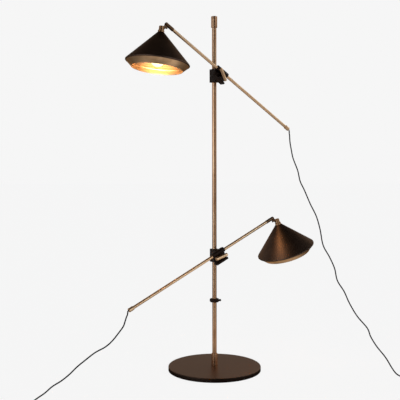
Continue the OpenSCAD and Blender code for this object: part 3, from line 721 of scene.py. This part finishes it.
class LAMP_OT_camera(bpy.types.Operator):
    """Sets up the camera that took the photograph"""

    bl_idname = "lamp.camera"
    bl_label = "Camera"

    def execute(self, context):
        s = context.scene.lamp_camera
        data = bpy.data.cameras.new("Photograph")
        cam = bpy.data.objects.new("Photograph", data)
        context.scene.collection.objects.link(cam)
        data.sensor_width = 36
        data.lens = s.focal
        data.clip_end = 100
        cam.location = s.place
        look = Matrix.Rotation(math.pi / 2 - s.pitch, 3, "X") @ Matrix.Rotation(s.roll, 3, "Z")
        cam.rotation_euler = look.to_euler()
        context.scene.camera = cam
        return {"FINISHED"}


class LAMP_OT_cords(bpy.types.Operator):
    """Lays the two mains cords, each with its coil and its plug"""

    bl_idname = "lamp.cords"
    bl_label = "Cords"

    def execute(self, context):
        flex = cord_flex()
        for lamp in LAMPS:
            self.lay(lamp, flex)
        return {"FINISHED"}

    def lay(self, lamp, flex):
        """Lays one cord as a piece for each joint's share, and its rest on the floor."""
        s = LAMPS[lamp]
        exit_point = arm_frame(lamp) @ Vector((s["reach"] - ARM_L - GLAND_OUT, 0, 0))
        route = [Vector(p) * MM for p in ROUTES[lamp]]
        line = smooth_line([exit_point] + route, CORD_STEPS)
        loops = rings(line)
        bodies = [f"{lamp}_{part}" for part in ("arm", "arm_block", "pole_block", "carrier")]
        bodies.append("stand")
        marks = [k * CORD_STEPS for k in SHARES[lamp]]
        for i, name in enumerate(("reach", "tilt", "swivel", "height")):
            a, b = marks[i], marks[i + 1]
            piece = tube_mesh(f"{lamp}_cord_{name}", loops[a : b + 1])
            piece.data.materials.append(flex)
            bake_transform(piece)
            if i == 0:
                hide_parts(f"{lamp}_cord")
        floor = line[marks[-1] :] + coil_line(lamp, line[-1])
        piece = tube_mesh(f"{lamp}_cord_coil", rings(floor))
        piece.data.materials.append(flex)
        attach(piece, "stand")
        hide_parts(f"{lamp}_coil")
        plug = rounded_copy(f"{lamp}_plug_body", f"{lamp}_plug", PLUG_EDGE)
        dress_whole(plug, flex)
        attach(plug, "stand")
        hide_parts(f"{lamp}_plug")


class LAMP_OT_stage(bpy.types.Operator):
    """Builds the pale floor, the studio's light and the light of the bulbs"""

    bl_idname = "lamp.stage"
    bl_label = "Stage"

    def execute(self, context):
        colour = linear(context.scene.lamp_colours.backdrop)
        self.floor(context, colour)
        self.world(context, colour)
        for name, (place, strength, angle, tint) in SUNS.items():
            sun = self.light(name, "SUN", strength, tint)
            sun.data.angle = math.radians(angle)
            sun.rotation_euler = Vector(place).to_track_quat("Z", "Y").to_euler()
        # A filament that lies across the lamp lights the front and the back of the reflector
        # most, so each bulb has a point of light and a wide spot to either side. The upper
        # one's third spot is its warm light on the lower shade.
        drop = Vector((0, 0, CUP_FOOT - FILAMENT_DROP))
        at = {lamp: head_frame(lamp) @ drop for lamp in LAMPS}
        for lamp, (power, side) in FILAMENTS.items():
            self.bulb(lamp, "filament", at[lamp], power)
            self.bulb(lamp, "filament, front", at[lamp], side, (0, -1, 0), SIDE_SPREAD)
            self.bulb(lamp, "filament, back", at[lamp], side, (0, 1, 0), SIDE_SPREAD)
        aim = at["lower"] + Vector((0, 0, SPILL_RISE)) - at["upper"]
        self.bulb("upper", "spill", at["upper"], SPILL_POWER, aim, SPILL_SPREAD)
        return {"FINISHED"}

    def light(self, name, kind, power, tint):
        """Adds a light of the given kind, power and colour."""
        data = bpy.data.lights.new(name, kind)
        data.energy = power
        data.color = linear(tint)[:3]
        light = bpy.data.objects.new(name, data)
        bpy.context.scene.collection.objects.link(light)
        return light

    def bulb(self, lamp, name, place, power, aim=None, spread_angle=0):
        """One light in a bulb, which shines all round or, with an aim, as a soft spot."""
        light = self.light(f"{lamp} {name}", "SPOT" if aim else "POINT", power, FILAMENT_COLOUR)
        light.data.shadow_soft_size = FILAMENT_R
        light.parent = frame["bodies"][f"{lamp}_head"]
        light.location = place
        if aim:
            light.data.spot_size, light.data.spot_blend = math.radians(spread_angle), 1.0
            light.rotation_euler = Vector(aim).to_track_quat("-Z", "Y").to_euler()

    def floor(self, context, colour):
        """Lays the floor, which the camera sees as the backdrop and the metal as a room."""
        deselect()
        bpy.ops.mesh.primitive_plane_add(size=FLOOR_SIZE, location=(0, 0, 0))
        floor = context.object
        floor.name = "Studio_floor"
        m, tree, out = new_material("Pale studio floor")
        lit = add(tree, "ShaderNodeBsdfDiffuse", {"Color": [FLOOR_GREY] * 3 + [1]})
        ray = add(tree, "ShaderNodeLightPath").outputs
        # In the metal the floor's glow shows a painted shadow at the base, a painted pool of the
        # light that the shades throw round it, and grey farther out but for the painted light of
        # a window on either side.
        at = add(tree, "ShaderNodeNewGeometry").outputs["Position"]
        far = add(
            tree, "ShaderNodeVectorMath", {"operation": "LENGTH"}, {0: at}).outputs["Value"]
        left = smooth(tree, towards(tree, at, LEFT_WINDOW), *FLOOR_LEFT)
        left = reckon(tree, "MULTIPLY", left, smooth(tree, far, *FLOOR_FAR))
        right = smooth(tree, towards(tree, at, RIGHT_FLOOR), *FLOOR_RIGHT)
        grey = reckon(tree, "ADD", reckon(tree, "ADD", left, right), FLOOR_DIM)
        open_floor = reckon(tree, "ADD", grey, smooth(tree, far, *FLOOR_POOL))
        mirrored = reckon(tree, "MULTIPLY", open_floor, smooth(tree, far, *FLOOR_SHADOW_AT_BASE))
        seen = reckon(tree, "MAXIMUM", ray["Is Camera Ray"], ray["Is Transmission Ray"])
        shown = reckon(tree, "MULTIPLY", seen, FLOOR_GLOW)
        shiny = reckon(tree, "MULTIPLY", ray["Is Glossy Ray"], mirrored)
        glow = add(tree, "ShaderNodeEmission", {"Color": colour}, {
            "Strength": reckon(tree, "ADD", shown, shiny)})
        share = reckon(
            tree, "MULTIPLY", reckon(tree, "MAXIMUM", seen, ray["Is Glossy Ray"]), FLOOR_SHARE)
        mix = add(
            tree, "ShaderNodeMixShader", {}, {0: share, 1: lit.outputs[0], 2: glow.outputs[0]})
        tree.links.new(mix.outputs[0], out.inputs["Surface"])
        floor.data.materials.append(m)

    def world(self, context, colour):
        """Sets up the room that the metal mirrors and the backdrop that the camera sees."""
        world = bpy.data.worlds.new("Studio")
        context.scene.world = world
        world.use_nodes = True
        tree = world.node_tree
        tree.nodes.clear()
        out = add(tree, "ShaderNodeOutputWorld")
        look = add(tree, "ShaderNodeTexCoord").outputs["Generated"]
        axes = add(tree, "ShaderNodeSeparateXYZ", {}, {0: look}).outputs
        # Bright low down behind the lamp, dim towards the viewer and dark overhead, so that
        # turned metal gets light edges and a dark band, and the dark cones stay dark.
        front = smooth(tree, axes["Z"], *ROOM_FRONT)
        level = reckon(tree, "ADD", front, smooth(tree, axes["Y"], *ROOM_BACK))
        high = smooth(tree, axes["Z"], *ROOM_HIGH)
        room = add(tree, "ShaderNodeBackground", {"Color": [1, 1, 1, 1]}, {
            "Strength": reckon(tree, "MULTIPLY", level, high)})
        # A long low window on the left and a higher one on the right, both cool.
        band = reckon(
            tree, "MULTIPLY", smooth(tree, axes["Z"], *LEFT_SILL),
            smooth(tree, axes["Z"], *LEFT_TOP))
        left = smooth(tree, towards(tree, look, LEFT_WINDOW), *LEFT_SIDE)
        left = reckon(tree, "MULTIPLY", left, band)
        band = reckon(
            tree, "MULTIPLY", smooth(tree, axes["Z"], *RIGHT_SILL),
            smooth(tree, axes["Z"], *RIGHT_TOP))
        right = reckon(tree, "MULTIPLY", smooth(tree, axes["X"], *RIGHT_SIDE), band)
        windows = add(tree, "ShaderNodeBackground", {"Color": linear(WINDOW_COLOUR)}, {
            "Strength": reckon(tree, "ADD", left, right)})
        both = add(tree, "ShaderNodeAddShader", {}, {0: room.outputs[0], 1: windows.outputs[0]})
        backdrop = add(tree, "ShaderNodeBackground", {"Color": colour, "Strength": 1.0})
        ray = add(tree, "ShaderNodeLightPath").outputs["Is Camera Ray"]
        mix = add(
            tree, "ShaderNodeMixShader", {},
            {0: ray, 1: both.outputs[0], 2: backdrop.outputs[0]})
        tree.links.new(mix.outputs[0], out.inputs["Surface"])


class LAMP_OT_shades(bpy.types.Operator):
    """Spins the conical shades with their rolled rims, their brass lips and reflectors"""

    bl_idname = "lamp.shades"
    bl_label = "Shades"

    def execute(self, context):
        c = context.scene.lamp_colours
        outside = bronze_coat(
            "Bronze powder coat, shade", c.shade_paint, SHADE_FLECK, SHADE_SHEEN)
        inside = reflector("Satin anodised aluminium, reflector", c.reflector)
        # The upper lamp's cone and lip are spun, and the lower lamp's are copies of them.
        cone = spun("upper_shade_cone", self.cone())
        lip = spun("upper_lip_ring", self.lip())
        for piece in (cone, lip):
            piece.data.materials.append(outside)
            piece.data.materials.append(inside)
            for face in piece.data.polygons:
                at = face.center
                inner = face.normal.dot(Vector((at.x, at.y, 0))) < 0
                # All that faces the axis between the flat top and the light opening.
                if inner and CUP_FOOT - SHEET > at.z > CUP_FOOT - CONE_H - LIP_H:
                    face.material_index = 1
            smooth_by_angle(piece, 40)
        for lamp, pair in (
            ("lower", (copied(cone, "lower_shade_cone"), copied(lip, "lower_lip_ring"))),
            ("upper", (cone, lip)),
        ):
            turn = head_frame(lamp).to_3x3().transposed().to_euler()
            pair[1].data.materials[0] = aged_brass(
                f"Spun brass, {lamp} lip", turn, (c.lip_light, c.lip_mid, c.lip_dark), 0.36,
                (30, 30, 900))
            for piece, node, slot in zip(pair, ("shade", "lip"), ("shade_paint", "brass")):
                settle(piece, head_frame(lamp))
                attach(piece, f"{lamp}_head")
                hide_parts(f"{lamp}_{node}")
        return {"FINISHED"}

    def cone(self):
        """The cone's section: flat top round the stem with its edge eased, straight side
        and rolled rim."""
        rim_z = CUP_FOOT - CONE_H
        roll_r = RIM_R - RIM_ROLL
        slope = math.degrees(math.atan2(CONE_H - RIM_ROLL, RIM_R - CONE_TOP_R - SHEET))
        hole = STEM_R + STEM_PLAY
        return (
            [(hole, CUP_FOOT), (CONE_TOP_R - 1.0 * MM, CUP_FOOT),
             (CONE_TOP_R - 0.2 * MM, CUP_FOOT - 0.3 * MM)]
            + arc(roll_r, rim_z, RIM_ROLL, 90 - slope, -ROLL_END, 16)
            + arc(roll_r, rim_z, RIM_ROLL - SHEET, -ROLL_END, 90 - slope, 12)
            + [(CONE_TOP_R - SHEET * 1.2, CUP_FOOT - SHEET), (hole, CUP_FOOT - SHEET)]
        )

    def lip(self):
        """The lip's section: a hook in the rolled rim, a wall that tapers inwards, a bead."""
        rim_z = CUP_FOOT - CONE_H
        half = SHEET / 2
        wall = RIM_R - RIM_ROLL + half
        hook = RIM_R - SHEET - LIP_PLAY
        edge = rim_z - RIM_ROLL * math.sin(math.radians(ROLL_END))
        foot = rim_z - LIP_H
        return (
            [(wall - 3 * half, rim_z + half), (hook, rim_z + half), (hook, rim_z - half),
             (wall, rim_z - 2 * half), (wall, edge), (MOUTH_R + LIP_BEAD, foot + LIP_BEAD)]
            + arc(MOUTH_R + LIP_BEAD / 2, foot + LIP_BEAD / 2, LIP_BEAD / 2, 30, -180, 8)
            + [(MOUTH_R, foot + 2 * LIP_BEAD), (wall - 3 * half, edge)]
        )


class LAMP_OT_clamps(bpy.types.Operator):
    """Rounds the edges of the clamps' castings"""

    bl_idname = "lamp.clamps"
    bl_label = "Clamps"

    def execute(self, context):
        c = context.scene.lamp_colours
        edge = context.scene.lamp_sizes.casting_edge
        paint = satin_paint("Semi-matt paint, castings", c.casting_paint)
        for lamp in LAMPS:
            for node in ("pole_block", "arm_block"):
                piece = rounded_copy(f"{lamp}_{node}_casting", f"{lamp}_{node}", edge)
                dress_whole(piece, paint)
                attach(piece, f"{lamp}_{node}")
                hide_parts(f"{lamp}_{node}")
        return {"FINISHED"}


class LAMP_OT_finishes(bpy.types.Operator):
    """Gives every other CAD piece its real finish"""

    bl_idname = "lamp.finishes"
    bl_label = "Finishes"

    def execute(self, context):
        c = context.scene.lamp_colours
        tones = (c.brass_light, c.brass_mid, c.brass_dark)
        upright = aged_brass("Brushed brass, pole", (0, 0, 0), tones)
        sleeve = aged_brass("Turned brass, pole ends", (0, 0, 0), tones, 0.25)
        # The base's rounded edge and side, below BASE_EDGE_Z, get a painted shade.
        coated = bronze_coat(
            "Bronze powder coat, base", c.base_paint, BASE_FLECK, BASE_SHEEN,
            (BASE_EDGE_Z, BASE_SHADED_SIDE))
        iron = plain("Cast iron, as cast", "#3c3a38", 0.75, 0.6, 300.0, 0.0006)
        felt = plain("Pressed felt", "#26221f", 0.95, 0.0, 800.0, 0.0010)
        zinc = plain("Zinc-plated steel", "#a8a8a4", 0.38, 1.0)
        black = satin_paint("Semi-matt paint, collar", c.casting_paint)
        nylon = plain("Moulded nylon", "#1e1d1c", 0.55)
        porcelain = plain("Glazed porcelain", "#efe9dc", 0.15, 0.0, 60.0)
        contact = plain("Brass blades, stamped", "#cfa96a", 0.28, 1.0)
        dress = {
            "base_cover": coated, "base_weight": iron, "base_pad": felt, "base_stud": zinc,
            "base_washer": zinc, "base_nut": zinc, "foot_sleeve": sleeve, "pole": upright,
            "pole_cap": sleeve, "stop_collar": black, "stop_screw": black,
        }
        for lamp in LAMPS:
            # The brushing runs along the arm, so the pattern is turned to the arm's axis.
            turn = arm_frame(lamp).to_3x3() @ Matrix.Rotation(math.pi / 2, 3, "Y")
            turn = turn.transposed().to_euler()
            along = aged_brass(f"Brushed brass, {lamp} arm", turn, ARM_TONES[lamp], 0.34)
            dark = aged_brass(f"Darkened brass, {lamp} joint", turn, SMALL_TONES, 0.34)
            turned = aged_brass(f"Turned brass, {lamp} head", (0, 0, 0), CUP_TONES, 0.22)
            joint = aged_brass(f"Aged brass, {lamp} joint", turn, JOINT_TONES, 0.28)
            glass = glowing(
                f"Frosted glass, {lamp} bulb", GLASS, GLASS_GLOW, GLASS_STRENGTH[lamp])
            for node, m in (
                ("liner", nylon), ("washer", dark), ("clamp_screw", dark), ("handle_bar", along),
                ("arm_tube", along), ("ferrule", along), ("gland", black), ("fork", joint),
                ("pivot_pin", dark), ("tongue", joint), ("cup", turned),
                ("lampholder", porcelain), ("bulb", glass), ("blades", contact),
            ):
                dress[f"{lamp}_{node}"] = m
        for node, m in dress.items():
            dress_whole(frame["nodes"][node], m)
        return {"FINISHED"}


class LAMP_PT_panel(bpy.types.Panel):
    """Lists the lamp's steps and values in the 3D view's sidebar"""

    bl_idname = "LAMP_PT_panel"
    bl_label = "Lamp"
    bl_space_type = "VIEW_3D"
    bl_region_type = "UI"
    bl_category = "Lamp"

    def draw(self, context):
        scene = context.scene
        for group in (scene.lamp_camera, scene.lamp_colours, scene.lamp_sizes):
            box = self.layout.box()
            for key in group.bl_rna.properties.keys():
                if key not in ("rna_type", "name"):
                    box.prop(group, key)
        for kind in OPERATORS:
            self.layout.operator(kind.bl_idname)


GROUPS = (LampCamera, LampColours, LampSizes)
OPERATORS = (
    LAMP_OT_camera,
    LAMP_OT_cords,
    LAMP_OT_stage,
    LAMP_OT_shades,
    LAMP_OT_clamps,
    LAMP_OT_finishes,
)


def register():
    """Registers the lamp's values, steps and panel with Blender."""
    for kind in (*GROUPS, *OPERATORS, LAMP_PT_panel):
        bpy.utils.register_class(kind)
    bpy.types.Scene.lamp_camera = PointerProperty(type=LampCamera)
    bpy.types.Scene.lamp_colours = PointerProperty(type=LampColours)
    bpy.types.Scene.lamp_sizes = PointerProperty(type=LampSizes)


def unregister():
    """Takes out all that register put in."""
    for name in ("lamp_camera", "lamp_colours", "lamp_sizes"):
        delattr(bpy.types.Scene, name)
    for kind in reversed((*GROUPS, *OPERATORS, LAMP_PT_panel)):
        bpy.utils.unregister_class(kind)


def main():
    """Dresses the lamp, step by step."""
    register()
    bpy.context.scene.view_settings.view_transform = "Standard"
    bpy.ops.lamp.camera()
    bpy.ops.lamp.cords()
    bpy.ops.lamp.stage()
    bpy.ops.lamp.shades()
    bpy.ops.lamp.clamps()
    bpy.ops.lamp.finishes()
    bpy.context.view_layer.update()


if __name__ == "__main__":
    main()
